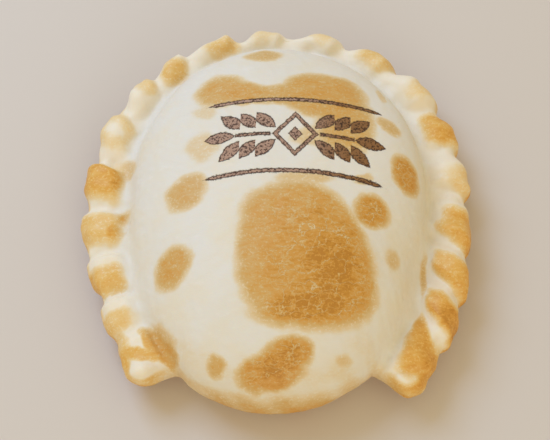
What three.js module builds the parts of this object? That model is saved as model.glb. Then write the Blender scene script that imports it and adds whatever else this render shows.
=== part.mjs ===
// A folded hand pie: one closed parcel of dough. Its filled body bulges smoothly at the front,
// where the sheet of dough is folded, and its open edge is pinched into a rope of overlapping
// folds, which runs from the left front corner clockwise round the back to the right one.
// Millimetres, +Z up, front towards -Y. The origin is the middle of the parcel's box, on the
// surface that it rests on.
//
// The skin is a grid. Round the parcel goes a heading, in degrees from the front, positive to
// the right. Down the skin goes a station, from 0 at the top of the dome to 20 at the middle
// of the base: each heading has one control point of a cubic B-spline at every whole station.

import * as THREE from 'three';

// Driving dimensions
const domeHeight = 36;
const body = { half: 41.6, front: 58.3, back: 50.3, fullness: 2.15 };   // filled body, in plan
const rope = { half: 52.9, front: 65.0, back: 57.0, fullness: 2.2 };    // rope's outer line, in plan
const leftEar = 36.5;             // heading of each end of the rope, as an angle off the front
const rightEar = 33.5;
const notch = 27.5;               // where the free belly ends and the rope's ends begin
const creaseHeight = 12.3;        // the groove between the dome and the rope
const leftCreaseRise = 2.3;       // how much higher that groove lies on the left
const ropeTop = 14.4;
const ropeEdge = 10;              // the rope's outermost line
const ropeBottom = 5.4;           // the rope's underside, clear of the table
const foldDepth = 2.9;
const valleyDepth = 0.36;         // how far the creases between folds sink, as a share of foldDepth

// The folds, from the left ear clockwise: how far round each one runs, in degrees, and how plump it is
const firstFoldStart = -8;
const folds = [
  { run: 19.0, plump: 0.70 }, { run: 11.1, plump: 0.80 }, { run: 15.0, plump: 0.95 },
  { run: 15.8, plump: 1.05 }, { run: 16.8, plump: 1.30 }, { run: 18.5, plump: 1.10 },
  { run: 14.9, plump: 1.05 }, { run: 12.1, plump: 0.85 }, { run: 16.1, plump: 0.95 },
  { run: 15.3, plump: 0.90 }, { run: 17.9, plump: 0.80 }, { run: 15.7, plump: 0.85 },
  { run: 17.8, plump: 1.00 }, { run: 14.6, plump: 0.90 }, { run: 15.6, plump: 1.05 },
  { run: 18.9, plump: 0.95 }, { run: 14.2, plump: 1.00 }, { run: 13.3, plump: 0.85 },
  { run: 22.6, plump: 0.70 },
];

// Where the hand-made outline leaves its ovals: at a heading, over a spread, by so many mm
const bodySwells = [{ at: -23, spread: 8, by: 0.9 }, { at: 20, spread: 9, by: -0.5 }];
const ropeSwells = [
  { at: 30, spread: 5, by: -1.8 }, { at: 34, spread: 10, by: 1.8 }, { at: 55, spread: 20, by: 0.9 },
  { at: 130, spread: 25, by: 0.9 }, { at: -38, spread: 3.5, by: 0.9 }, { at: -58, spread: 16, by: -1.2 },
  { at: -140, spread: 18, by: -0.5 },
];

// Soft bulges and hollows of the dome over its filling
const lumps = [
  { x: 33, y: 13, spread: 12, lift: 1.3 }, { x: 36, y: -21, spread: 11, lift: -1.6 },
  { x: -30, y: 6, spread: 15, lift: 0.6 }, { x: -31, y: 29, spread: 10, lift: -0.7 },
  { x: -16, y: -40, spread: 14, lift: 0.5 }, { x: 14, y: 38, spread: 9, lift: -0.5 },
  { x: 8, y: -14, spread: 13, lift: 0.5 },
];

// Folds and lips of the rope's two end flaps
const flapForms = [
  { x: 36.0, y: -41.5, halfX: 5.0, halfY: 8.5, turn: 8, lift: 1.1 },
  { x: 35.0, y: -48.7, halfX: 6.0, halfY: 1.1, turn: 0, lift: -0.9 },
  { x: 35.0, y: -51.6, halfX: 5.0, halfY: 1.7, turn: 0, lift: 0.6 },
  { x: -31.2, y: -42.4, halfX: 3.8, halfY: 7.0, turn: 44, lift: 0.9 },
  { x: -36.8, y: -44.0, halfX: 2.4, halfY: 4.6, turn: 60, lift: -0.5 },
  { x: -33.5, y: -48.0, halfX: 6.5, halfY: 1.4, turn: 0, lift: 0.7 },
];

// The grid
const headingCount = 192;
const rowCount = 28;
const creaseStation = 7;
const edgeStation = 11;
const lastStation = 20;
const domeAngles = [0, 12, 25, 39, 53, 67];   // degrees down the dome's oval, one for each station

const crustColour = 0xdfcaa2;

const radians = THREE.MathUtils.degToRad;

function smooth(low, high, x) {
  return THREE.MathUtils.smoothstep(x, low, high);
}

function bell(x, middle, spread) {
  return Math.exp(-(((x - middle) / spread) ** 2));
}

// A round-topped mound in plan, 1 in its middle, with its own half sizes and turn
function mound(x, y, form) {
  const turn = radians(form.turn);
  const p = (x - form.x) * Math.cos(turn) + (y - form.y) * Math.sin(turn);
  const q = (y - form.y) * Math.cos(turn) - (x - form.x) * Math.sin(turn);
  return Math.exp(-((p / form.halfX) ** 2) - (q / form.halfY) ** 2);
}

function between(a, b, share) {
  return a + (b - a) * share;
}

// Distance from the middle to an oval that is fuller than an ellipse, with its own front and back
function ovalRadius(heading, oval) {
  const across = Math.abs(Math.sin(radians(heading))) / oval.half;
  const along = Math.cos(radians(heading));
  const reach = Math.abs(along) / (along > 0 ? oval.front : oval.back);
  return (across ** oval.fullness + reach ** oval.fullness) ** (-1 / oval.fullness);
}

function swollen(radius, heading, swells) {
  return swells.reduce((sum, swell) => sum + swell.by * bell(heading, swell.at, swell.spread), radius);
}

// The control points of the skin's section at a heading, and the share of it that is rope:
// 0 along the free belly, 1 along the rope
function section(heading) {
  const turn = Math.abs(heading);
  const ear = heading > 0 ? rightEar : leftEar;
  const ropeShare = smooth(notch, ear, turn);
  const nearEar = bell(turn, ear, 16);
  const atBack = smooth(90, 160, turn);
  const r = swollen(ovalRadius(heading, body), heading, bodySwells);
  const edge = swollen(ovalRadius(heading, rope), heading, ropeSwells);
  const width = edge - r;

  // The dome is a quarter of a full oval, steepest on its right rear flank and gentlest on the
  // left, where it runs out into the folds with hardly a crease
  const atLeft = smooth(-128, -92, heading) * (1 - smooth(-54, -38, heading));
  const fullness = 2.16 + 0.26 * bell(heading, 112, 32) - 0.14 * atBack - 0.06 * bell(heading, 60, 24)
    - 0.26 * atLeft;
  const springing = 12.7 + 1.0 * atBack;
  const dome = domeAngles.map((angle) => [
    r * Math.sin(radians(angle)) ** (2 / fullness),
    springing + (domeHeight - springing) * Math.cos(radians(angle)) ** (2 / fullness),
  ]);

  const crease = creaseHeight + 1.2 * atBack + 1.6 * nearEar + leftCreaseRise * atLeft;
  const top = ropeTop + 0.5 * atBack - 0.6 * nearEar;
  const outer = ropeEdge - 0.6 * atBack - 1.5 * nearEar;
  const under = ropeBottom - 0.2 * atBack - 0.8 * nearEar;
  const roped = [
    ...dome,
    [r - 1.3 - 0.7 * atLeft, crease + 3.6 - 0.4 * atLeft], [r + 0.1, crease + 0.2 + 0.5 * atLeft],
    [r + 0.24 * width, crease + 0.2],
    [r + 0.52 * width, top + 0.5], [r + 0.86 * width, top + 0.2], [edge + 0.5, outer + 0.6],
    [edge - 0.6, under + 0.9], [r + 0.55 * width, under], [r + 0.1 * width, under - 0.6],
    [r - 2.6, 2.5], [r - 5.5, 0], [r - 9, 0], [r - 16, 0], [0.35 * r, 0], [0, 0],
  ];
  const free = [
    ...dome,
    [r - 1.1, 18.2], [r - 0.2, 15.5], [r + 0.2, 13.3], [r + 0.3, 11.8], [r + 0.2, 10.4],
    [r, 9.0], [r - 0.4, 7.6], [r - 1.0, 6.1], [r - 1.9, 4.2], [r - 3.6, 1.9], [r - 6.5, 0],
    [r - 10, 0], [r - 16, 0], [0.35 * r, 0], [0, 0],
  ];
  const points = free.map(([rho, z], i) => [
    between(rho, roped[i][0], ropeShare),
    between(z, roped[i][1], ropeShare),
  ]);
  return { points, ropeShare };
}

// A point of the uniform cubic B-spline over the control points. At both poles the radius
// carries on as its own negative and the height as its mirror, so the skin is smooth there.
function splinePoint(points, station) {
  const last = points.length - 1;
  const control = (i) => {
    if (i < 0) return [-points[-i][0], points[-i][1]];
    if (i > last) return [-points[2 * last - i][0], points[2 * last - i][1]];
    return points[i];
  };
  const cell = Math.min(Math.floor(station), last - 1);
  const u = station - cell;
  const weights = [
    (1 - u) ** 3 / 6,
    (3 * u ** 3 - 6 * u ** 2 + 4) / 6,
    (-3 * u ** 3 + 3 * u ** 2 + 3 * u + 1) / 6,
    u ** 3 / 6,
  ];
  return [0, 1].map((axis) => weights.reduce((sum, weight, j) => sum + weight * control(cell - 1 + j)[axis], 0));
}

// The fold at a heading and a place across the rope: its number, and how far along it, 0 to 1.
// The folds lean clockwise towards the rope's edge, and more on the right.
function foldAt(heading, across) {
  const run = THREE.MathUtils.euclideanModulo(-leftEar - heading + 30, 360) - 30;
  const lean = 3 + 3 * smooth(130, 230, run);
  const place = run - lean * (Math.min(across, 1.3) - 0.55);
  let start = firstFoldStart;
  for (const [number, fold] of folds.entries()) {
    if (place < start + fold.run) return { number, along: Math.max(0, (place - start) / fold.run) };
    start += fold.run;
  }
  return { number: folds.length - 1, along: 1 };
}

// How far the skin stands off its section. A fold swells out of the crease and ends in a
// steeper edge. At the back a flat flange lies between the dome and the folds.
function relief(heading, station, ropeShare, x, y) {
  const across = (station - creaseStation) / (edgeStation - creaseStation);
  const { number, along } = foldAt(heading, across);
  const swelling = smooth(0, 0.42, along) * (1 - smooth(0.70, 0.95, along));
  const start = 0.02 + 0.26 * smooth(75, 115, Math.abs(heading));
  const onRope = smooth(start - 0.15, start + 0.34, across)
    * (1 - 0.45 * smooth(0.6, 1.1, across))
    * (1 - smooth(1.1, 1.7, across));
  const fold = foldDepth * ropeShare * onRope * (folds[number].plump * swelling - valleyDepth);

  const onDome = 1 - smooth(5.5, 7.5, station);
  const onFlap = smooth(6.5, 8, station) * (1 - smooth(11.5, 12.5, station)) * ropeShare;
  const filling = lumps.reduce(
    (sum, { lift, spread, ...at }) => sum + lift * mound(x, y, { ...at, halfX: spread, halfY: spread, turn: 0 }),
    0,
  );
  const flap = flapForms.reduce((sum, form) => sum + form.lift * mound(x, y, form), 0);
  return fold + onDome * filling + onFlap * flap;
}

// Values from low to high, closer together where the density is greater
function spaced(count, low, high, density) {
  const steps = 2000;
  const sums = [0];
  for (let i = 0; i < steps; i += 1) {
    sums.push(sums[i] + density(between(low, high, (i + 0.5) / steps)));
  }
  const values = [];
  let i = 0;
  for (let n = 0; n < count; n += 1) {
    const wanted = (sums[steps] * n) / (count - 1);
    while (i < steps - 1 && sums[i + 1] < wanted) i += 1;
    values.push(between(low, high, (i + (wanted - sums[i]) / (sums[i + 1] - sums[i])) / steps));
  }
  return values;
}

function skinGrid() {
  const headings = spaced(headingCount + 1, -180, 180, (d) => 1 + 1.1 * bell(Math.abs(d), 32, 9)).slice(0, -1);
  const stations = spaced(rowCount, 0, lastStation, (s) => 0.55 + 1.1 * bell(s, 9.3, 2.8));
  const sections = headings.map(section);
  const base = stations.map((station) => headings.map((heading, column) => {
    const [rho, z] = splinePoint(sections[column].points, station);
    return new THREE.Vector3(rho * Math.sin(radians(heading)), -rho * Math.cos(radians(heading)), z);
  }));

  // Each point moves along the normal, which comes from its four neighbours
  return base.map((row, i) => row.map((point, column) => {
    if (i === 0 || i === rowCount - 1) return point.clone();
    const round = new THREE.Vector3().subVectors(
      row[(column + 1) % headingCount],
      row[(column + headingCount - 1) % headingCount],
    );
    const down = new THREE.Vector3().subVectors(base[i + 1][column], base[i - 1][column]);
    const normal = down.cross(round).normalize();
    const lift = relief(headings[column], stations[i], sections[column].ropeShare, point.x, point.y);
    return point.clone().addScaledVector(normal, lift);
  }));
}

// The closed skin: one vertex at the top, the grid's inner rows, one vertex under the base
function crustGeometry() {
  const grid = skinGrid();
  const points = [grid[0][0], ...grid.slice(1, -1).flat(), grid[rowCount - 1][0]];
  points[0].z += relief(0, 0, 0, 0, 0);
  const middle = new THREE.Box3().setFromPoints(points).getCenter(new THREE.Vector3()).setZ(0);
  const positions = points.flatMap((point) => point.sub(middle).toArray());

  const rings = rowCount - 2;
  const vertex = (ring, column) => 1 + ring * headingCount + (column % headingCount);
  const bottom = points.length - 1;
  const faces = [];
  for (let column = 0; column < headingCount; column += 1) {
    faces.push(0, vertex(0, column), vertex(0, column + 1));
    for (let ring = 0; ring < rings - 1; ring += 1) {
      const [a, b] = [vertex(ring, column), vertex(ring, column + 1)];
      const [c, d] = [vertex(ring + 1, column), vertex(ring + 1, column + 1)];
      faces.push(a, c, b, b, c, d);
    }
    faces.push(bottom, vertex(rings - 1, column + 1), vertex(rings - 1, column));
  }

  const geometry = new THREE.BufferGeometry();
  geometry.setAttribute('position', new THREE.Float32BufferAttribute(positions, 3));
  geometry.setIndex(faces);
  geometry.computeVertexNormals();
  return geometry;
}

const crust = new THREE.Mesh(
  crustGeometry(),
  new THREE.MeshStandardMaterial({ color: crustColour, roughness: 0.6, metalness: 0 }),
);
crust.name = 'hand_pie';

const pie = new THREE.Group();
pie.add(crust);

export default pie;
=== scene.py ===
# A baked hand pie: one parcel of dough, folded over its filling, domed and smooth in front, with its
# edge pinched into a rope of folds. It lies on a plain pale floor in soft light.
import math
import bpy
import numpy as np
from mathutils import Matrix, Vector


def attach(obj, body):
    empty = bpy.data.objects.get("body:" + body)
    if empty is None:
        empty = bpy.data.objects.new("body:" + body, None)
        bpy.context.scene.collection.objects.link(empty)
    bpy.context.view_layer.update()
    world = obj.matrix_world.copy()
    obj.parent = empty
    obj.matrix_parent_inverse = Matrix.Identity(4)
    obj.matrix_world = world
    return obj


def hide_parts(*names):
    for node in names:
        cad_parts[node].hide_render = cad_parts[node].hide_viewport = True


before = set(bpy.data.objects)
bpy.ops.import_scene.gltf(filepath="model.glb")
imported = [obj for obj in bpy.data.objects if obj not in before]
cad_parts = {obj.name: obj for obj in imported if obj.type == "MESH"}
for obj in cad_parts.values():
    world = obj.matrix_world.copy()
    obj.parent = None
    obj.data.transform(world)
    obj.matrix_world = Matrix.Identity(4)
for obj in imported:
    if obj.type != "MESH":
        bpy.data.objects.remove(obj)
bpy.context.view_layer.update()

print("frame loaded")

# Lengths are millimetres and angles degrees until a mesh is made. A heading is an angle round the
# parcel: 0 at the front, positive to the right. A station is a place down its skin: 0 at the top
# of the dome, 7 in the groove by the rope, 11 on the rope's outer line, 20 in the middle of the base.

parcel = {
    "height": 36.0,
    "springing": 12.7, "domeFullness": 2.16,    # where the dome springs from, how boxy its section is
    "body": {"half": 41.6, "front": 58.3, "back": 50.3, "fullness": 2.15},
    "rope": {"half": 52.9, "front": 65.0, "back": 57.0, "fullness": 2.2},
    "leftEar": 36.5, "rightEar": 33.5,      # where the rope ends, as headings off the front
    "notch": 27.5,                          # where the free belly ends
    "grooveHeight": 12.3, "leftGrooveRise": 2.3, "ropeTop": 14.4, "ropeEdge": 10.0, "ropeBottom": 5.4,
    "foldDepth": 2.9, "valleyDepth": 0.36,
    "foldLean": 3, "rightFoldLean": 6,      # how far a fold leans over clockwise, in degrees
    "headingCount": 600, "rowCount": 165,
    # where the hand-made outline leaves its ovals: heading, spread, by so many mm
    "bodySwells": [(-23, 8, 0.9), (20, 9, -0.5)],
    "ropeSwells": [(30, 5, -1.8), (34, 10, 1.8), (55, 20, 0.9), (130, 25, 0.9), (-38, 3.5, 0.9),
                   (-58, 16, -1.2), (-140, 18, -0.5)],
    # soft bulges and hollows of the dome: x, y, spread, lift
    "lumps": [(33, 13, 12, 1.3), (36, -21, 11, -1.6), (-30, 6, 15, 0.6), (-31, 29, 10, -0.7),
              (-16, -40, 14, 0.5), (14, 38, 9, -0.5), (8, -14, 13, 0.5)],
    # folds and lips of the rope's two end flaps
    "flapForms": [
        {"x": 36.0, "y": -41.5, "halfX": 5.0, "halfY": 8.5, "turn": 8, "lift": 1.1},
        {"x": 35.0, "y": -48.7, "halfX": 6.0, "halfY": 1.1, "turn": 0, "lift": -0.9},
        {"x": 35.0, "y": -51.6, "halfX": 5.0, "halfY": 1.7, "turn": 0, "lift": 0.6},
        {"x": -31.2, "y": -42.4, "halfX": 3.8, "halfY": 7.0, "turn": 44, "lift": 0.9},
        {"x": -36.8, "y": -44.0, "halfX": 2.4, "halfY": 4.6, "turn": 60, "lift": -0.5},
        {"x": -33.5, "y": -48.0, "halfX": 6.5, "halfY": 1.4, "turn": 0, "lift": 0.7},
    ],
}

# The folds of the rope, from the left end clockwise. run is how far round each goes, in degrees,
# and plump how thick it is. toast is how brown its top is, between two shares of its run
# (since, until) and between two places across the rope: 0 in the groove, 1 on the outer line;
# paleHeart is how much paler it is in the middle than the other folds are.
firstFoldStart = -8
folds = [
    {"run": 19.0, "plump": 0.70, "toast": 0.00, "since": 0.20, "until": 0.80, "inner": 0.00, "outer": 0.30},
    {"run": 11.1, "plump": 0.80, "toast": 0.46, "since": 0.00, "until": 0.56, "inner": 0.34, "outer": 1.20},
    {"run": 15.0, "plump": 0.95, "toast": 0.58, "since": 0.00, "until": 0.62, "inner": 0.20, "outer": 1.30},
    {"run": 15.8, "plump": 1.05, "toast": 0.50, "since": 0.14, "until": 0.80, "inner": 0.10, "outer": 1.40},
    {"run": 16.8, "plump": 1.30, "toast": 0.72, "since": 0.17, "until": 0.88, "inner": 0.26, "outer": 1.40},
    {"run": 18.5, "plump": 1.10, "toast": 0.42, "since": 0.22, "until": 0.92, "inner": 0.30, "outer": 1.20,
     "paleHeart": 0.75},
    {"run": 14.9, "plump": 1.05, "toast": 0.40, "since": 0.45, "until": 0.90, "inner": 0.45, "outer": 1.20},
    {"run": 12.1, "plump": 0.85, "toast": 0.40, "since": 0.20, "until": 0.72, "inner": 0.36, "outer": 1.05},
    {"run": 16.1, "plump": 0.95, "toast": 0.24, "since": 0.62, "until": 0.97, "inner": 0.40, "outer": 1.00},
    {"run": 15.3, "plump": 0.90, "toast": 0.24, "since": 0.20, "until": 0.80, "inner": 0.40, "outer": 1.10},
    {"run": 17.9, "plump": 0.80, "toast": 0.32, "since": 0.30, "until": 0.80, "inner": 0.50, "outer": 1.10},
    {"run": 15.7, "plump": 0.85, "toast": 0.46, "since": 0.28, "until": 0.94, "inner": 0.42, "outer": 1.20},
    {"run": 17.8, "plump": 1.00, "toast": 0.36, "since": 0.42, "until": 0.80, "inner": 0.45, "outer": 1.15},
    {"run": 14.6, "plump": 0.90, "toast": 0.72, "since": 0.05, "until": 0.88, "inner": 0.34, "outer": 0.95},
    {"run": 15.6, "plump": 1.05, "toast": 0.38, "since": 0.40, "until": 0.98, "inner": 0.52, "outer": 1.40},
    {"run": 18.9, "plump": 0.95, "toast": 0.68, "since": 0.32, "until": 0.97, "inner": 0.36, "outer": 1.40},
    {"run": 14.2, "plump": 1.00, "toast": 0.68, "since": 0.30, "until": 0.95, "inner": 0.22, "outer": 1.30},
    {"run": 13.3, "plump": 0.85, "toast": 0.88, "since": 0.26, "until": 0.84, "inner": 0.30, "outer": 1.15},
    {"run": 22.6, "plump": 0.70, "toast": 0.00, "since": 0.20, "until": 0.80, "inner": 0.00, "outer": 0.30},
]


# 0 below low, 1 above high, and a cubic between them that starts and ends level
def smooth(low, high, x):
    share = np.clip((x - low) / (high - low), 0, 1)
    return share * share * (3 - 2 * share)


# 1 in the middle, and down to 1/e at one spread from it
def bell(x, middle, spread):
    return np.exp(-((x - middle) / spread) ** 2)


# x and y measured along axes that are turned anticlockwise
def turned(x, y, turn):
    cosine = math.cos(math.radians(turn))
    sine = math.sin(math.radians(turn))
    return x * cosine + y * sine, y * cosine - x * sine


# A round-topped mound in plan, 1 in its middle, with its own half sizes and turn
def mound(points, x, y, halfX, halfY, turn):
    p, q = turned(points[..., 0] - x, points[..., 1] - y, turn)
    return np.exp(-(p / halfX) ** 2 - (q / halfY) ** 2)


# Soft seeded unevenness, mostly within -1 to 1: a sum of plane waves in random directions
def unevenness(points, wavelength, seed):
    waveCount = 28
    draw = np.random.default_rng(seed)
    directions = draw.normal(size=(waveCount, 3))
    directions /= np.linalg.norm(directions, axis=1, keepdims=True)
    lengths = wavelength * draw.uniform(0.7, 1.5, waveCount)
    phases = draw.uniform(0, 2 * math.pi, waveCount)
    total = np.zeros(points.shape[:-1])
    for direction, length, phase in zip(directions, lengths, phases):
        total += np.sin(points @ direction * (2 * math.pi / length) + phase)
    return total / math.sqrt(waveCount)


# An oval fuller than an ellipse: (|sin|/half)^n + (|cos|/end)^n = 1/r^n, with its own front and back
def ovalRadius(heading, oval):
    across = np.abs(np.sin(np.radians(heading))) / oval["half"]
    cosine = np.cos(np.radians(heading))
    along = np.abs(cosine) / np.where(cosine > 0, oval["front"], oval["back"])
    return (across ** oval["fullness"] + along ** oval["fullness"]) ** (-1 / oval["fullness"])


# Control points of the skin's section at each heading, one for each whole station, as radius and
# height, and the share of it that is rope: 0 along the free belly, 1 along the rope
def skinSections(heading):
    turn = np.abs(heading)
    ear = np.where(heading > 0, parcel["rightEar"], parcel["leftEar"])
    ropeShare = smooth(parcel["notch"], ear, turn)
    nearEar = bell(turn, ear, 16)
    atBack = smooth(90, 160, turn)
    r = ovalRadius(heading, parcel["body"])
    edge = ovalRadius(heading, parcel["rope"])
    for at, spread, by in parcel["bodySwells"]:
        r = r + by * bell(heading, at, spread)
    for at, spread, by in parcel["ropeSwells"]:
        edge = edge + by * bell(heading, at, spread)
    width = edge - r

    # the dome is a quarter of a full oval, steepest on its right rear flank and gentlest on the left,
    # where it runs out into the folds with hardly a groove
    atLeft = smooth(-128, -92, heading) * (1 - smooth(-54, -38, heading))
    fullness = (parcel["domeFullness"] + 0.26 * bell(heading, 112, 32) - 0.06 * bell(heading, 60, 24)
                - 0.14 * atBack - 0.26 * atLeft)
    springing = parcel["springing"] + 1.0 * atBack
    rise = parcel["height"] - springing
    dome = [(r * math.sin(a) ** (2 / fullness), springing + rise * math.cos(a) ** (2 / fullness))
            for a in np.radians([0, 12, 25, 39, 53, 67])]

    groove = parcel["grooveHeight"] + 1.2 * atBack + 1.6 * nearEar + parcel["leftGrooveRise"] * atLeft
    top = parcel["ropeTop"] + 0.5 * atBack - 0.6 * nearEar
    outer = parcel["ropeEdge"] - 0.6 * atBack - 1.5 * nearEar
    under = parcel["ropeBottom"] - 0.2 * atBack - 0.8 * nearEar
    roped = dome + [
        (r - 1.3 - 0.7 * atLeft, groove + 3.6 - 0.4 * atLeft), (r + 0.1, groove + 0.2 + 0.5 * atLeft),
        (r + 0.24 * width, groove + 0.2),
        (r + 0.52 * width, top + 0.5), (r + 0.86 * width, top + 0.2), (edge + 0.5, outer + 0.6),
        (edge - 0.6, under + 0.9), (r + 0.55 * width, under), (r + 0.1 * width, under - 0.6),
        (r - 2.6, 2.5), (r - 5.5, 0), (r - 9, 0), (r - 16, 0), (0.35 * r, 0), (0 * r, 0),
    ]
    free = dome + [
        (r - 1.1, 18.2), (r - 0.2, 15.5), (r + 0.2, 13.3), (r + 0.3, 11.8), (r + 0.2, 10.4),
        (r, 9.0), (r - 0.4, 7.6), (r - 1.0, 6.1), (r - 1.9, 4.2), (r - 3.6, 1.9), (r - 6.5, 0),
        (r - 10, 0), (r - 16, 0), (0.35 * r, 0), (0 * r, 0),
    ]
    roped = np.array([np.broadcast_arrays(rho, z, r)[:2] for rho, z in roped])
    free = np.array([np.broadcast_arrays(rho, z, r)[:2] for rho, z in free])
    return free * (1 - ropeShare) + roped * ropeShare, ropeShare


# Uniform cubic B-spline down the control points. At both poles the radius carries on as its own
# negative and the height as its mirror, so the skin is smooth there.
def splineDown(controls, stations):
    mirror = np.array([-1, 1])[:, None]
    padded = np.concatenate([controls[1:2] * mirror, controls, controls[-2:-1] * mirror])
    cell = np.minimum(np.floor(stations).astype(int), len(controls) - 2)
    u = (stations - cell)[:, None, None]
    weights = [(1 - u) ** 3 / 6, (3 * u ** 3 - 6 * u ** 2 + 4) / 6,
               (-3 * u ** 3 + 3 * u ** 2 + 3 * u + 1) / 6, u ** 3 / 6]
    return sum(weight * padded[cell + i] for i, weight in enumerate(weights))


# Which fold a place lies on, how far along that fold, 0 to 1, and how far across the rope. The
# folds lean clockwise towards the rope's edge, and more on the right.
def foldPlace(heading, stations):
    # degrees round from the left end, -30 to 330
    run = np.mod(-parcel["leftEar"] - heading + 30, 360) - 30
    onRight = smooth(130, 230, run)
    lean = parcel["foldLean"] * (1 - onRight) + parcel["rightFoldLean"] * onRight
    across = (stations[:, None] - 7) / 4
    place = run[None, :] - lean[None, :] * (np.minimum(across, 1.3) - 0.55)
    ends = firstFoldStart + np.concatenate([[0], np.cumsum([fold["run"] for fold in folds])])
    count = np.interp(place, ends, np.arange(len(ends)))
    number = np.minimum(np.floor(count).astype(int), len(folds) - 1)
    return number, count - number, np.broadcast_to(across, place.shape)


# A named value of the fold that each place lies on
def ofFold(name, number):
    return np.array([fold.get(name, 0) for fold in folds])[number]


# Unit normals of a grid of points from its four neighbours; heading goes round, station goes down
def gridNormals(grid):
    roundWay = np.roll(grid, -1, 1) - np.roll(grid, 1, 1)
    downWay = np.gradient(grid, axis=0)
    normals = np.cross(downWay, roundWay)
    normals /= np.maximum(np.linalg.norm(normals, axis=-1, keepdims=True), 1e-9)
    normals[0] = (0, 0, 1)
    normals[-1] = (0, 0, -1)
    return normals


# Values from low to high, closer together where the density is greater
def spacedValues(count, low, high, density):
    fine = np.linspace(low, high, 4001)
    sums = np.concatenate([[0], np.cumsum(density((fine[1:] + fine[:-1]) / 2))])
    return np.interp(np.linspace(0, sums[-1], count), sums, fine)


# The small forms that the hand and the oven leave. Pits: x, y, spread, depth.
detail = {
    # soft unevenness: by how much, how long its waves are, and the seed of its random draw
    "dome": {"by": 0.16, "wave": 17, "seed": 3},
    "rope": {"by": 0.34, "wave": 6.5, "seed": 5},
    "skin": {"by": 0.05, "wave": 2.4, "seed": 8},
    "pits": [(-41.2, -8.2, 0.8, 0.4), (-40.6, -7.0, 0.6, 0.4), (-41.6, -9.4, 0.5, 0.3),
             (-41.4, 7.6, 0.6, 0.4), (-40.6, 8.6, 0.5, 0.3), (-42.6, 8.9, 0.7, 0.3)],
}


# The skin as a grid of points, stations down and headings round: its sections, pushed out along
# their normals by the folds, bulges, flaps and unevenness; and where on the pie each point lies
def skinGrid():
    # headings lie closest at the rope's ends, and stations lie closer on the rope than on the base
    heading = spacedValues(parcel["headingCount"] + 1, -180, 180,
                           lambda d: 1 + 1.1 * bell(np.abs(d), 32, 9))[:-1]
    stations = spacedValues(parcel["rowCount"], 0, 20,
                            lambda s: 1 + 0.25 * bell(s, 9.3, 2.2) - 0.82 * smooth(12.5, 14.5, s))
    controls, ropeShare = skinSections(heading)
    section = splineDown(controls, stations)
    rho = section[:, 0]
    turn = np.radians(heading)
    grid = np.stack([rho * np.sin(turn), -rho * np.cos(turn), section[:, 1]], -1)
    number, along, across = foldPlace(heading, stations)

    # each fold swells out of the crease before it and ends in a steeper edge; at the back a flat
    # flange lies between the dome and the folds
    swelling = smooth(0, 0.42, along) * (1 - smooth(0.76, 0.96, along))
    start = 0.02 + 0.26 * smooth(75, 115, np.abs(heading))
    onRope = (smooth(start - 0.15, start + 0.34, across) * (1 - 0.45 * smooth(0.6, 1.1, across))
              * (1 - smooth(1.1, 1.7, across)))
    lift = (parcel["foldDepth"] * ropeShare * onRope
            * (ofFold("plump", number) * swelling - parcel["valleyDepth"]))
    onDome = (1 - smooth(5.5, 7.5, stations))[:, None]
    for x, y, spread, by in parcel["lumps"]:
        lift = lift + by * onDome * mound(grid, x, y, spread, spread, 0)
    onFlap = (smooth(6.5, 8, stations) * (1 - smooth(11.5, 12.5, stations)))[:, None] * ropeShare
    for form in parcel["flapForms"]:
        shape = mound(grid, form["x"], form["y"], form["halfX"], form["halfY"], form["turn"])
        lift = lift + form["lift"] * onFlap * shape

    # the hand's unevenness, nothing of it on the base
    free = (1 - smooth(13.5, 15.5, stations))[:, None]
    roped = (smooth(6.2, 7.6, stations)[:, None] * ropeShare) * free
    for name, where in (("dome", free), ("rope", roped), ("skin", free)):
        rough = detail[name]
        lift = lift + rough["by"] * unevenness(grid, rough["wave"], rough["seed"]) * where
    for x, y, spread, depth in detail["pits"]:
        onTop = (1 - smooth(10.5, 11.5, stations))[:, None]
        lift = lift - depth * onTop * mound(grid, x, y, spread, spread, 0)
    grid = grid + gridNormals(grid) * lift[..., None]
    return grid, {"number": number, "along": along, "across": across, "ropeShare": ropeShare,
                  "stations": stations, "heading": heading}


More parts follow.
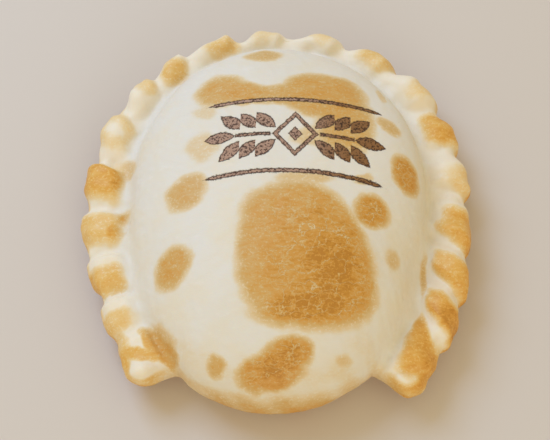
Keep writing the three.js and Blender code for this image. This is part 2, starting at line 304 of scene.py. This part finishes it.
# Toasted spots of the upper skin: place, half sizes, turn, how brown, and how wide the soft edge is.
# square above 2 fills out a spot's corners, taper widens it towards its own far side or, below 0,
# narrows it, lean slants it, fade pales it that way and fadeLeft to the left.
spots = [
    # the largest, with its browner right and lower parts
    {"x": 6.9, "y": -22.9, "halfX": 17.6, "halfY": 19.4, "turn": 0, "toast": 0.86, "edge": 3.0,
     "square": 2.45, "taper": -0.17, "lean": -0.12, "fade": 0.06, "fadeLeft": 0.20},
    {"x": 14.6, "y": -27.0, "halfX": 9.5, "halfY": 12.0, "turn": 8, "toast": 0.84, "edge": 9.0},
    {"x": -2.5, "y": -11.5, "halfX": 7.5, "halfY": 6.0, "turn": 0, "toast": 0.52, "edge": 4.0},
    {"x": 6.6, "y": -37.2, "halfX": 12.5, "halfY": 4.6, "turn": 4, "toast": 0.86, "edge": 5.0},
    {"x": 24.9, "y": -10.3, "halfX": 4.6, "halfY": 4.5, "turn": 0, "toast": 0.79, "edge": 1.9,
     "square": 2.4},
    {"x": 22.5, "y": -1.8, "halfX": 3.0, "halfY": 1.5, "turn": 10, "toast": 0.40, "edge": 1.4},
    {"x": 7.0, "y": -2.6, "halfX": 7.9, "halfY": 1.8, "turn": 0, "toast": 0.36, "edge": 2.0},
    # the band behind the ornament
    {"x": -15.6, "y": 27.2, "halfX": 7.0, "halfY": 6.3, "turn": 8, "toast": 0.62, "edge": 2.8},
    {"x": -9.0, "y": 25.6, "halfX": 7.0, "halfY": 4.0, "turn": -8, "toast": 0.58, "edge": 2.4},
    {"x": -3.5, "y": 24.6, "halfX": 10.5, "halfY": 3.7, "turn": -2, "toast": 0.58, "edge": 1.9,
     "square": 4},
    {"x": 12.8, "y": 25.0, "halfX": 11.6, "halfY": 8.7, "turn": -5, "toast": 0.66, "edge": 2.2,
     "square": 2.3},
    {"x": 18.4, "y": 14.6, "halfX": 7.9, "halfY": 9.6, "turn": -8, "toast": 0.58, "edge": 3.0,
     "square": 2.6},
    {"x": 12.0, "y": 10.5, "halfX": 8.5, "halfY": 3.6, "turn": 5, "toast": 0.36, "edge": 3.0},
    # the left of the dome, from the back to the front
    {"x": -19.9, "y": 19.6, "halfX": 3.8, "halfY": 2.8, "turn": -20, "toast": 0.22, "edge": 2.4},
    {"x": -19.9, "y": 8.0, "halfX": 4.8, "halfY": 4.3, "turn": -20, "toast": 0.28, "edge": 3.0},
    {"x": -24.2, "y": -4.7, "halfX": 5.9, "halfY": 4.7, "turn": 32, "toast": 0.56, "edge": 2.4,
     "square": 2.3},
    {"x": -27.2, "y": -24.8, "halfX": 4.8, "halfY": 5.8, "turn": 0, "toast": 0.66, "edge": 2.2,
     "square": 2.4, "lean": 0.12},
    # the belly
    {"x": -15.6, "y": -50.2, "halfX": 2.6, "halfY": 2.6, "turn": 0, "toast": 0.58, "edge": 1.9},
    {"x": -1.6, "y": -52.0, "halfX": 8.7, "halfY": 4.1, "turn": 9, "toast": 0.80, "edge": 2.4,
     "square": 2.4},
    {"x": 5.0, "y": -47.9, "halfX": 4.3, "halfY": 3.5, "turn": 14, "toast": 0.82, "edge": 1.9},
    {"x": 1.2, "y": -49.2, "halfX": 6.4, "halfY": 4.4, "turn": 30, "toast": 0.78, "edge": 2.4},
    {"x": 16.9, "y": -48.8, "halfX": 2.7, "halfY": 1.8, "turn": 0, "toast": 0.34, "edge": 1.9},
    # the right flank
    {"x": 34.4, "y": 2.3, "halfX": 3.8, "halfY": 5.4, "turn": 12, "toast": 0.80, "edge": 1.8},
    {"x": 30.4, "y": 16.0, "halfX": 3.9, "halfY": 2.1, "turn": -40, "toast": 0.46, "edge": 1.6},
    {"x": 29.0, "y": 28.6, "halfX": 1.2, "halfY": 3.6, "turn": 10, "toast": 0.26, "edge": 1.4},
    {"x": 30.5, "y": -21.8, "halfX": 1.9, "halfY": 3.0, "turn": -8, "toast": 0.36, "edge": 1.9},
    {"x": 39.6, "y": -21.2, "halfX": 1.0, "halfY": 6.0, "turn": -4, "toast": 0.46, "edge": 2.6},
    # the folds' inner ends
    {"x": -4.0, "y": 42.0, "halfX": 5.2, "halfY": 3.2, "turn": 0, "toast": 0.50, "edge": 1.7},
    {"x": -42.4, "y": 10.6, "halfX": 3.2, "halfY": 3.6, "turn": 10, "toast": 0.36, "edge": 2.4},
    {"x": -45.0, "y": -8.9, "halfX": 2.3, "halfY": 3.0, "turn": -10, "toast": 0.76, "edge": 3.2},
    {"x": -42.6, "y": -5.0, "halfX": 1.9, "halfY": 2.6, "turn": -20, "toast": 0.62, "edge": 3.0},
    {"x": -45.3, "y": 6.4, "halfX": 2.3, "halfY": 5.0, "turn": 0, "toast": 0.80, "edge": 4.0},
    {"x": -29.9, "y": 43.0, "halfX": 4.2, "halfY": 3.6, "turn": 40, "toast": 0.56, "edge": 2.6},
    {"x": -15.9, "y": 51.8, "halfX": 5.4, "halfY": 3.0, "turn": 12, "toast": 0.46, "edge": 3.0},
    # the end flaps, left and right
    {"x": -31.2, "y": -42.4, "halfX": 2.5, "halfY": 7.4, "turn": 44, "toast": 0.63, "edge": 1.3,
     "square": 2.3},
    {"x": -30.3, "y": -41.4, "halfX": 2.6, "halfY": 5.5, "turn": 44, "toast": 0.46, "edge": 2.8},
    {"x": -35.6, "y": -44.0, "halfX": 7.0, "halfY": 1.7, "turn": -10, "toast": 0.60, "edge": 1.7},
    {"x": -41.6, "y": -41.0, "halfX": 2.4, "halfY": 5.0, "turn": 24, "toast": 0.42, "edge": 2.6},
    {"x": 37.5, "y": -41.2, "halfX": 4.2, "halfY": 9.4, "turn": 0, "toast": 0.72, "edge": 2.8,
     "square": 2.4, "taper": -0.75, "lean": 0.12},
    {"x": 39.6, "y": -46.4, "halfX": 3.0, "halfY": 2.6, "turn": 30, "toast": 0.62, "edge": 1.6},
]

toasting = {
    # uneven outlines: how long the waves are and how far they shift an outline, in mm
    "wave": 5.5, "shift": 0.30, "fineWave": 2.0, "fineShift": 0.09,
    # spots: how soft their edges are, how much paler they are near them, and how little two of them
    # add up where they meet
    "softness": 1.5, "paleRim": 0.22, "blend": 5,
    # folds, in shares of a fold: how far inside its limits each side starts to pale and over what
    # width, how far the waves shift it, and how wide and how pale its heart is
    "start": (0.23, 0.37), "end": (0.17, 0.27), "inner": (0.32, 0.56), "outer": (0.25, 0.60),
    "alongShift": 0.02, "alongFineShift": 0.008, "acrossShift": 0.05, "acrossFineShift": 0.02,
    "heartSpread": (0.24, 0.26), "heartPaleness": 0.16, "foldStrength": 1.04,
    # the rope's outer line, on the left and on the right, and how uneven it is
    "rim": 0.48, "rimRight": 0.62, "rimUneven": 0.35,
    # what faces down, and what the flat base adds to it
    "underside": 0.46, "base": 0.25,
    # the belly's foot, the share of it at the belly's sides, and above it a faint warm tint of painted
    # light reflected up from below, each fading out between two heights that the waves shift
    "belly": 0.66, "bellySides": 0.45, "bellyHeights": (10.5, 22.0),
    "paintedWarmLight": 0.13, "paintedWarmLightHeights": (20, 32), "wavyBy": 0.4,
    # the lips of the end flaps
    "lip": 0.62, "lipHeights": (12.0, 14.2), "rightLipRise": 1.2,
    "heatUneven": 0.25, "heatWave": 9,
}


# How brown the spots make the points x, y. A spot is a rounded box: reach is 0 in its middle and 1
# on its outline.
def spotToast(x, y):
    total = np.zeros(x.shape)
    for spot in spots:
        power = spot.get("square", 2)
        p, q = turned(x - spot["x"], y - spot["y"], spot["turn"])
        far = np.clip(q / spot["halfY"], -1.2, 1.2)
        halfX = spot["halfX"] * (1 + spot.get("taper", 0) * far)
        reach = ((np.abs(p - spot.get("lean", 0) * q) / halfX) ** power
                 + (np.abs(q) / spot["halfY"]) ** power) ** (1 / power)
        soft = toasting["softness"] * spot["edge"] / (spot["halfX"] + spot["halfY"])
        brown = spot["toast"] * (1 - spot.get("fade", 0) * (far + 1) / 2)
        brown = brown * (1 - spot.get("fadeLeft", 0) * (1 - np.clip(p / halfX, -1, 1)) / 2)
        brown = brown * (1 - toasting["paleRim"] * np.minimum(reach, 1) ** 3)
        total += (brown * (1 - smooth(1 - soft, 1 + soft, reach))) ** toasting["blend"]
    return total ** (1 / toasting["blend"])


# How brown each fold is on top: a box in shares of the fold, with soft round edges and a paler heart
def foldToast(along, across, number):
    def beyond(side, distance):
        inset, width = toasting[side]
        return np.maximum((distance + inset) / width, 0)

    since, until, inner, outer = [ofFold(name, number) for name in ("since", "until", "inner", "outer")]
    outside = np.hypot(np.maximum(beyond("start", since - along), beyond("end", along - until)),
                       np.maximum(beyond("inner", inner - across), beyond("outer", across - outer)))
    alongSpread, acrossSpread = toasting["heartSpread"]
    heart = bell(along, (since + until) / 2, alongSpread) * bell(across, (inner + 1) / 2, acrossSpread)
    paleness = toasting["heartPaleness"] + ofFold("paleHeart", number)
    strength = toasting["foldStrength"] - paleness * heart
    return ofFold("toast", number) * strength * (1 - smooth(0.12, 1, outside))


# How brown the oven's heat makes what sticks out or faces down, by height and by slope: the rope's
# outer line and lower edge, the belly's foot, the lips of the flaps and the underside. Low on the free
# belly it also adds a faint painted warm light, reflected up from below.
def heatToast(grid, place, wave):
    turn = np.abs(place["heading"])
    stations = place["stations"][:, None]
    rim = np.where(place["heading"] > 0, toasting["rimRight"], toasting["rim"]) * place["ropeShare"]
    rim = rim * smooth(10.2, 11.3, stations) * (1 + toasting["rimUneven"] * wave)

    down = -gridNormals(grid)[..., 2]
    foot = toasting["underside"] * smooth(-0.10, 0.45, down) + toasting["base"] * smooth(0.5, 0.95, down)

    wavyHeight = grid[..., 2] + toasting["wavyBy"] * wave
    inFront = 1 - (1 - toasting["bellySides"]) * smooth(11, 24, turn)
    belly = toasting["belly"] * inFront * (1 - smooth(*toasting["bellyHeights"], wavyHeight))
    # painted light: a faint warm gold tint on the lower belly, fading out upwards, standing in for warm
    # light reflected up from below
    paintedWarmLight = toasting["paintedWarmLight"] * (1 - smooth(*toasting["paintedWarmLightHeights"], wavyHeight))
    belly = (1 - place["ropeShare"]) * np.maximum(belly, paintedWarmLight)

    onFlap = place["ropeShare"] * (1 - smooth(42, 50, turn)) * smooth(8.4, 9.8, stations)
    rise = toasting["rightLipRise"] * smooth(-10, 10, grid[..., 0])
    lip = onFlap * toasting["lip"] * (1 - smooth(*toasting["lipHeights"], grid[..., 2] - rise))

    foot = np.maximum(np.maximum(foot, belly), lip)
    foot = foot * (1 + toasting["heatUneven"] * unevenness(grid, toasting["heatWave"], 31))
    return np.maximum(rim, foot)


# How brown each point of the skin is, 0 raw to 1 deep golden, before the fine grain: the brownest
# that its spots, its fold or the oven's heat make it, with the painted warm light low on the belly
def toastLevels(grid, place):
    waveX, waveY = [unevenness(grid, toasting["wave"], seed) for seed in (21, 22)]
    fineX, fineY = [unevenness(grid, toasting["fineWave"], seed) for seed in (23, 24)]
    x = grid[..., 0] + toasting["shift"] * waveX + toasting["fineShift"] * fineX
    y = grid[..., 1] + toasting["shift"] * waveY + toasting["fineShift"] * fineY
    onTop = (1 - smooth(11.5, 12.5, place["stations"]))[:, None]
    along = place["along"] + toasting["alongShift"] * waveX + toasting["alongFineShift"] * fineX
    across = place["across"] + toasting["acrossShift"] * waveY + toasting["acrossFineShift"] * fineY
    onFolds = foldToast(along, across, place["number"]) * place["ropeShare"]
    level = np.maximum(spotToast(x, y) * onTop, onFolds)
    return np.maximum(level, heatToast(grid, place, waveX))


# A closed mesh of a grid in mm whose first and last rows are poles, with values given to its points
def closedMesh(name, grid, attributes):
    rows, around = grid.shape[:2]
    points = np.concatenate([grid[0, :1], grid[1:-1].reshape(-1, 3), grid[-1, :1]])
    ring = 1 + np.arange((rows - 2) * around).reshape(rows - 2, around)
    nextRing = np.roll(ring, -1, 1)
    quads = np.stack([ring[:-1], ring[1:], nextRing[1:], nextRing[:-1]], -1).reshape(-1, 4)
    topFan = np.stack([np.zeros(around, int), ring[0], nextRing[0]], -1)
    baseFan = np.stack([np.full(around, len(points) - 1), nextRing[-1], ring[-1]], -1)
    mesh = bpy.data.meshes.new(name)
    mesh.from_pydata((points * 0.001).tolist(), [], quads.tolist() + topFan.tolist() + baseFan.tolist())
    mesh.polygons.foreach_set("use_smooth", np.ones(len(mesh.polygons), bool))
    for key, values in attributes.items():
        flat = np.concatenate([values[0, :1], values[1:-1].reshape(-1), values[-1, :1]])
        mesh.attributes.new(key, "FLOAT", "POINT").data.foreach_set("value", flat.astype(np.float32))
    mesh.update()
    piece = bpy.data.objects.new(name, mesh)
    bpy.context.scene.collection.objects.link(piece)
    return piece


grid, place = skinGrid()
corners = grid.reshape(-1, 3)
middle = (corners.min(0) + corners.max(0)) / 2 * (1, 1, 0)
# the toast levels also carry the faint painted warm light low on the belly
toast = toastLevels(grid, place)
onRope = smooth(7.0, 8.8, place["stations"])[:, None] * place["ropeShare"]
crust = closedMesh("crust", grid - middle, {"toast": toast, "rope": onRope})
print("crust made:", len(crust.data.polygons), "faces")


# One socket of a material. Sums on it add Math nodes, so shader maths reads as plain formulas.
class Wire:
    def __init__(self, maker, socket):
        self.maker = maker
        self.socket = socket

    def math(self, operation, *others):
        values = {i: value for i, value in enumerate((self, *others))}
        return self.maker.node("ShaderNodeMath", {"operation": operation}, values)

    def __add__(self, other):
        return self.math("ADD", other)

    __radd__ = __add__

    def __mul__(self, other):
        return self.math("MULTIPLY", other)

    __rmul__ = __mul__

    def __sub__(self, other):
        return self.math("SUBTRACT", other)

    def __rsub__(self, other):
        return self * -1 + other

    def __truediv__(self, other):
        return self.math("DIVIDE", other)

    def __abs__(self):
        return self.math("ABSOLUTE")

    def least(self, other):
        return self.math("MINIMUM", other)

    def most(self, other):
        return self.math("MAXIMUM", other)


# A material and the nodes that are added to it
class Finish:
    def __init__(self, name):
        self.material = bpy.data.materials.new(name)
        self.material.use_nodes = True
        self.tree = self.material.node_tree
        self.tree.nodes.clear()

    # Any node: its type, its settings, then the values or wires of its sockets
    def node(self, kind, settings=None, values=None, out=0):
        made = self.tree.nodes.new(kind)
        for name, value in (settings or {}).items():
            if name == "stops":
                ramp = made.color_ramp
                while len(ramp.elements) < len(value):
                    ramp.elements.new(0.5)
                for element, (at, tone) in zip(ramp.elements, value):
                    element.position = at
                    element.color = tone
            else:
                setattr(made, name, value)
        for name, value in (values or {}).items():
            if isinstance(value, Wire):
                self.tree.links.new(value.socket, made.inputs[name])
            else:
                made.inputs[name].default_value = value
        return Wire(self, made.outputs[out]) if made.outputs else None

    def noise(self, vector, scale, detail, roughness):
        values = {"Vector": vector, "Scale": scale, "Detail": detail, "Roughness": roughness}
        return self.node("ShaderNodeTexNoise", None, values)

    # 0 below low, 1 above high, smooth between them
    def step(self, low, high, x):
        values = {"Value": x, "From Min": low, "From Max": high}
        return self.node("ShaderNodeMapRange", {"interpolation_type": "SMOOTHSTEP"}, values)

    def mix(self, factor, first, second):
        return self.node("ShaderNodeMix", {"data_type": "RGBA"}, {0: factor, 6: first, 7: second}, 2)

    def vector(self, operation, first, second):
        return self.node("ShaderNodeVectorMath", {"operation": operation}, {0: first, 1: second})


# A colour as seen on a screen, 0 to 255, made linear
def colour(red, green, blue):
    shares = [channel / 255 for channel in (red, green, blue)]
    return (*[s / 12.92 if s < 0.04045 else ((s + 0.055) / 1.055) ** 2.4 for s in shares], 1)


ornament = {
    "x": 4.9, "y": 11.3, "turn": -1.5, "arch": 0.0036,      # its rules sag by arch times x squared
    "ruleAt": 11.6, "ruleHalf": 0.70, "ruleReach": 25.0, "ruleTaper": 4,    # it thins over its taper
    "firstGrain": 8.4, "grainStep": 4.3, "grainCount": 3, "grainSpread": 4.6,
    "grainHalfLength": 4.2, "grainHalfWidth": 1.9, "grainTilt": 40, "tipOverlap": 1.0,
    "stemFrom": 6.6, "stemHalf": 0.6,
    "lozenge": 5.4, "lozengeLine": 0.85, "lozengeHeart": 2.0, "lozengeSquash": 0.85,
}


# How deep inside the burnt ornament a point lies, in mm, below 0 outside it: two arched rules, and
# between them two ears of wheat that point away from a lozenge
def ornamentDepth(finish, x, y):
    u, v = turned(x - ornament["x"], y - ornament["y"], ornament["turn"])
    side = abs(u)
    height = abs(v + u * u * ornament["arch"])

    # one grain: a leaf shape of two parabolas
    def grain(p, q, tilt):
        along, across = turned(p, q, tilt)
        along = along / ornament["grainHalfLength"]
        return ornament["grainHalfWidth"] * (1 - along * along) - abs(across)

    offset = side - ornament["firstGrain"]
    index = (offset / ornament["grainStep"]).math("ROUND").most(0).least(ornament["grainCount"] - 1)
    offset = offset - index * ornament["grainStep"]
    pairs = grain(offset, height - ornament["grainSpread"], ornament["grainTilt"])
    tipAt = ornament["firstGrain"] + ornament["grainStep"] * (ornament["grainCount"] - 1)
    tipAt -= ornament["tipOverlap"]
    tip = grain(side - tipAt - ornament["grainHalfLength"], height, 0)
    stem = (ornament["stemHalf"] - height).least(side - ornament["stemFrom"]).least(tipAt - side)
    diamond = side + height * ornament["lozengeSquash"]
    lozenge = ornament["lozengeLine"] - abs(diamond - ornament["lozenge"])
    lozenge = lozenge.most(ornament["lozengeHeart"] - diamond)

    # the last term ends each rule at its reach, where the taper is 0
    taper = finish.step(ornament["ruleReach"], ornament["ruleReach"] - ornament["ruleTaper"], side)
    rules = taper * ornament["ruleHalf"] - abs(height - ornament["ruleAt"]) + (taper - 1) * 0.2
    return pairs.most(tip).most(stem).most(lozenge).most(rules)


dough = {
    "raw": colour(231, 225, 211), "cream": colour(234, 221, 192), "floury": colour(241, 236, 225),
    "ropeRaw": colour(243, 231, 206), "creamShare": 0.6, "flourShare": 0.35,
    # toast colours of the dome and of the rope, from raw to the deepest brown
    "domeStops": [(0.0, colour(231, 224, 209)), (0.14, colour(229, 212, 178)),
                  (0.30, colour(225, 197, 148)), (0.46, colour(216, 182, 122)),
                  (0.58, colour(214, 170, 98)), (0.70, colour(214, 158, 76)),
                  (0.82, colour(205, 145, 54)), (1.0, colour(172, 110, 34))],
    "ropeStops": [(0.0, colour(243, 231, 206)), (0.16, colour(240, 219, 176)),
                  (0.32, colour(238, 207, 148)), (0.48, colour(233, 192, 116)),
                  (0.62, colour(229, 177, 88)), (0.76, colour(220, 159, 66)),
                  (0.88, colour(206, 143, 52)), (1.0, colour(168, 108, 36))],
    # the burnt ornament: its outline, charred and darkened with painted shade of the pressed-in edges, then
    # its dark specks and its inside, both paler on the left
    "charredEdgeAndShade": colour(70, 44, 28),
    "scorchSpeckLeft": colour(86, 62, 48), "scorchSpeckRight": colour(64, 38, 16),
    "scorchLeft": colour(180, 146, 124), "scorchRight": colour(142, 100, 58),
    # how many waves a mm the skin's noises have; the grain is drawn out sideways
    "fine": 1.15, "soft": 0.42, "mottle": 0.22, "tint": 0.055, "speck": 1.4, "char": 1.6,
    "crackleBend": 0.30, "crackleBreaks": 0.24, "grainStretch": (0.5, 1.3, 1.0),
    # what they do to the toast, and the brownest that it gets
    "fineToast": 0.60, "softToast": 0.45, "mottleToast": 0.36,
    "speckPale": 0.16, "cracklePale": 0.32, "brownest": 0.90,
    # two sizes of crackle: cells a mm along each axis, the lines' half width, and how bent they are
    "wideCrackle": ((0.13, 0.26, 0.2), 0.038, 1.2), "narrowCrackle": ((0.34, 0.60, 0.4), 0.070, 1.4),
    "narrowShare": 0.6,
    # how far the ornament's outline strays, in mm
    "grainRagged": 0.5, "charRagged": 0.9,
    # relief in mm, and how much of it shows
    "fineRelief": 0.05, "softRelief": 0.08, "mottleRelief": 0.10, "crackleRelief": 0.12,
    "burntRelief": -0.22, "bump": 0.7,
    "roughness": 0.58, "toastedRoughness": -0.08, "burntRoughness": 0.15, "grainRoughness": 0.2,
    "specular": 0.35, "subsurface": 0.06, "subsurfaceRadius": (0.0030, 0.0018, 0.0010),
}


# Pale crackle: lines along the borders of bent cells, wide ones in some places and narrow in others
def crackleLines(finish, mm):
    bendValues = {"Vector": mm, "Scale": dough["crackleBend"], "Detail": 3.0}
    bend = finish.node("ShaderNodeTexNoise", None, bendValues, 1)
    brokenUp = finish.noise(mm, dough["crackleBreaks"], 2.0, 0.6)

    def crackle(stretch, line, bending):
        bent = finish.vector("ADD", finish.vector("MULTIPLY", mm, stretch),
                             finish.vector("MULTIPLY", bend, (bending, bending, bending)))
        cellValues = {"Vector": bent, "Scale": 1.0}
        cells = finish.node("ShaderNodeTexVoronoi", {"feature": "DISTANCE_TO_EDGE"}, cellValues)
        return finish.step(line, line * 0.3, cells)

    wide = crackle(*dough["wideCrackle"]) * finish.step(0.38, 0.54, brokenUp)
    narrow = crackle(*dough["narrowCrackle"]) * finish.step(0.58, 0.42, brokenUp)
    return (wide + narrow * dough["narrowShare"]).least(1)


# Where the ornament is burnt in, with a ragged outline, and its colour: dark along that outline, from
# charring and from painted shade at the pressed-in edges, mottled inside
def scorchedOrnament(finish, mm, grainFine, grainSoft):
    x, y, z = [finish.node("ShaderNodeSeparateXYZ", None, {"Vector": mm}, axis) for axis in range(3)]
    x = x + (grainSoft - 0.5) * dough["grainRagged"]
    y = y + (grainFine - 0.5) * dough["grainRagged"]
    char = finish.noise(mm, dough["char"], 2.0, 0.7)
    depth = ornamentDepth(finish, x, y) + (char - 0.5) * dough["charRagged"]
    burnt = finish.step(-0.18, 0.22, depth) * finish.step(26, 28, z)
    rightward = finish.step(2, 20, x)
    pale = finish.mix(rightward, dough["scorchLeft"], dough["scorchRight"])
    dark = finish.mix(rightward, dough["scorchSpeckLeft"], dough["scorchSpeckRight"])
    inside = finish.mix(finish.step(0.40, 0.52, char), dark, pale)
    # the outline's dark colour is charring together with painted shade of the pressed-in edges
    return burnt, finish.mix(finish.step(0.24, 0.52, depth), dough["charredEdgeAndShade"], inside)


# The crust's finish: raw dough under toast, by the toast attribute, with the ornament burnt over both
def bakedCrust():
    finish = Finish("baked crust")
    coordinates = finish.node("ShaderNodeTexCoord", None, None, "Object")
    mm = finish.node("ShaderNodeVectorMath", {"operation": "SCALE"}, {0: coordinates, "Scale": 1000})
    toastAttribute = finish.node("ShaderNodeAttribute", {"attribute_name": "toast"}, None, "Fac")
    onRope = finish.node("ShaderNodeAttribute", {"attribute_name": "rope"}, None, "Fac")
    sideways = finish.vector("MULTIPLY", mm, dough["grainStretch"])
    grainFine = finish.noise(sideways, dough["fine"], 2.0, 0.65)
    grainSoft = finish.noise(sideways, dough["soft"], 3.0, 0.6)
    mottle = finish.noise(mm, dough["mottle"], 3.0, 0.55)
    tint = finish.noise(mm, dough["tint"], 2.0, 0.5)

    # grain mottles the toasted skin and flecks it with pale specks, and the brownest skin is crackled
    inSpot = finish.step(0.05, 0.45, toastAttribute)
    speck = finish.step(0.54, 0.64, finish.noise(mm, dough["speck"], 2.0, 0.7)) * inSpot
    crackles = crackleLines(finish, mm) * finish.step(0.58, 0.80, toastAttribute) * (1 - onRope)
    uneven = ((grainSoft - 0.5) * dough["softToast"] + (mottle - 0.5) * dough["mottleToast"]
              + (grainFine - 0.5) * dough["fineToast"])
    toastLevel = (toastAttribute * (1 + uneven)).least(dough["brownest"])
    toastLevel = toastLevel - speck * dough["speckPale"] - crackles * dough["cracklePale"]
    domeToast = finish.node("ShaderNodeValToRGB", {"stops": dough["domeStops"]}, {"Fac": toastLevel})
    ropeToast = finish.node("ShaderNodeValToRGB", {"stops": dough["ropeStops"]}, {"Fac": toastLevel})
    toasted = finish.mix(onRope, domeToast, ropeToast)

    # raw dough is cream in places and floury in others
    creamy = finish.step(0.38, 0.80, tint + (mottle - 0.5) * 0.5) * dough["creamShare"]
    raw = finish.mix(creamy, dough["raw"], dough["cream"])
    flour = finish.step(0.56, 0.78, grainSoft) * dough["flourShare"]
    raw = finish.mix(onRope, finish.mix(flour, raw, dough["floury"]), dough["ropeRaw"])
    skin = finish.mix(finish.step(0.0, 0.22, toastLevel), raw, toasted)
    burnt, scorch = scorchedOrnament(finish, mm, grainFine, grainSoft)
    skin = finish.mix(burnt, skin, scorch)

    height = (grainFine * dough["fineRelief"] + grainSoft * dough["softRelief"]
              + crackles * dough["crackleRelief"] + mottle * dough["mottleRelief"]
              + burnt * dough["burntRelief"])
    bumpValues = {"Strength": dough["bump"], "Distance": 0.001, "Height": height}
    bump = finish.node("ShaderNodeBump", None, bumpValues)
    roughness = (dough["roughness"] + inSpot * dough["toastedRoughness"] + burnt * dough["burntRoughness"]
                 + (grainSoft - 0.5) * dough["grainRoughness"])
    shader = finish.node("ShaderNodeBsdfPrincipled", None, {
        "Base Color": skin, "Roughness": roughness, "Normal": bump,
        "Specular IOR Level": dough["specular"],
        "Subsurface Weight": dough["subsurface"], "Subsurface Radius": dough["subsurfaceRadius"],
        "Subsurface Scale": 1.0,
    })
    finish.node("ShaderNodeOutputMaterial", None, {"Surface": shader})
    return finish.material


crust.data.materials.append(bakedCrust())
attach(crust, "root")
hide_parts("hand_pie")
print("crust finished")

# The camera looks down on the pie from the front. Its distance is in mm, and its focal length in
# pixels of the photograph's frame.
camera = {
    "elevation": 64.0, "distance": 388.0, "focalPixels": 1351.6, "frameWidth": 550, "sensor": 36.0,
    "target": (0.02, 1.22, 0.0), "targetPixel": (277, 225),     # the point it looks at, and its pixel
    "framePixel": (275, 220),               # the middle of the frame
}


def makeCamera():
    data = bpy.data.cameras.new("camera")
    data.sensor_width = camera["sensor"]
    data.lens = camera["focalPixels"] / camera["frameWidth"] * camera["sensor"]
    data.shift_x = (camera["framePixel"][0] - camera["targetPixel"][0]) / camera["frameWidth"]
    data.shift_y = (camera["targetPixel"][1] - camera["framePixel"][1]) / camera["frameWidth"]
    data.clip_start = 0.01
    data.clip_end = 10
    elevation = math.radians(camera["elevation"])
    back = Vector((0, -math.cos(elevation), math.sin(elevation)))
    holder = bpy.data.objects.new("camera", data)
    holder.location = (Vector(camera["target"]) + back * camera["distance"]) * 0.001
    holder.rotation_euler = (-back).to_track_quat("-Z", "Y").to_euler()
    bpy.context.scene.collection.objects.link(holder)
    bpy.context.scene.camera = holder


# A plain floor, warm light from all round, and two soft square lamps that face the pie, in metres
# and watts
studio = {
    "floor": colour(216, 206, 194), "floorHalf": 1.5, "floorRoughness": 0.8,
    "world": (1.0, 0.849, 0.559, 1), "worldStrength": 0.683, "lampSize": 0.45,
    "key": {"place": (-0.364, 0.364, 0.613), "power": 3.92, "colour": (0.373, 0.585, 1.0)},
    "front": {"place": (0.150, -0.727, 0.300), "power": 1.28, "colour": (0.790, 0.880, 1.0)},
}


def makeStudio():
    half = studio["floorHalf"]
    mesh = bpy.data.meshes.new("floor")
    floorCorners = [(-half, -half, 0), (half, -half, 0), (half, half, 0), (-half, half, 0)]
    mesh.from_pydata(floorCorners, [], [(0, 1, 2, 3)])
    floor = bpy.data.objects.new("floor", mesh)
    bpy.context.scene.collection.objects.link(floor)
    finish = Finish("plain floor")
    plain = {"Base Color": studio["floor"], "Roughness": studio["floorRoughness"]}
    shader = finish.node("ShaderNodeBsdfPrincipled", None, plain)
    finish.node("ShaderNodeOutputMaterial", None, {"Surface": shader})
    mesh.materials.append(finish.material)
    for name in ("key", "front"):
        lamp = studio[name]
        data = bpy.data.lights.new(name, "AREA")
        data.size = studio["lampSize"]
        data.energy = lamp["power"]
        data.color = lamp["colour"]
        holder = bpy.data.objects.new(name, data)
        holder.location = lamp["place"]
        holder.rotation_euler = Vector(lamp["place"]).to_track_quat("Z", "Y").to_euler()
        bpy.context.scene.collection.objects.link(holder)
    world = bpy.data.worlds.new("studio")
    world.use_nodes = True
    background = world.node_tree.nodes["Background"]
    background.inputs["Color"].default_value = studio["world"]
    background.inputs["Strength"].default_value = studio["worldStrength"]
    bpy.context.scene.world = world
    bpy.context.scene.view_settings.view_transform = "Standard"


makeCamera()
makeStudio()
print("camera and light set")
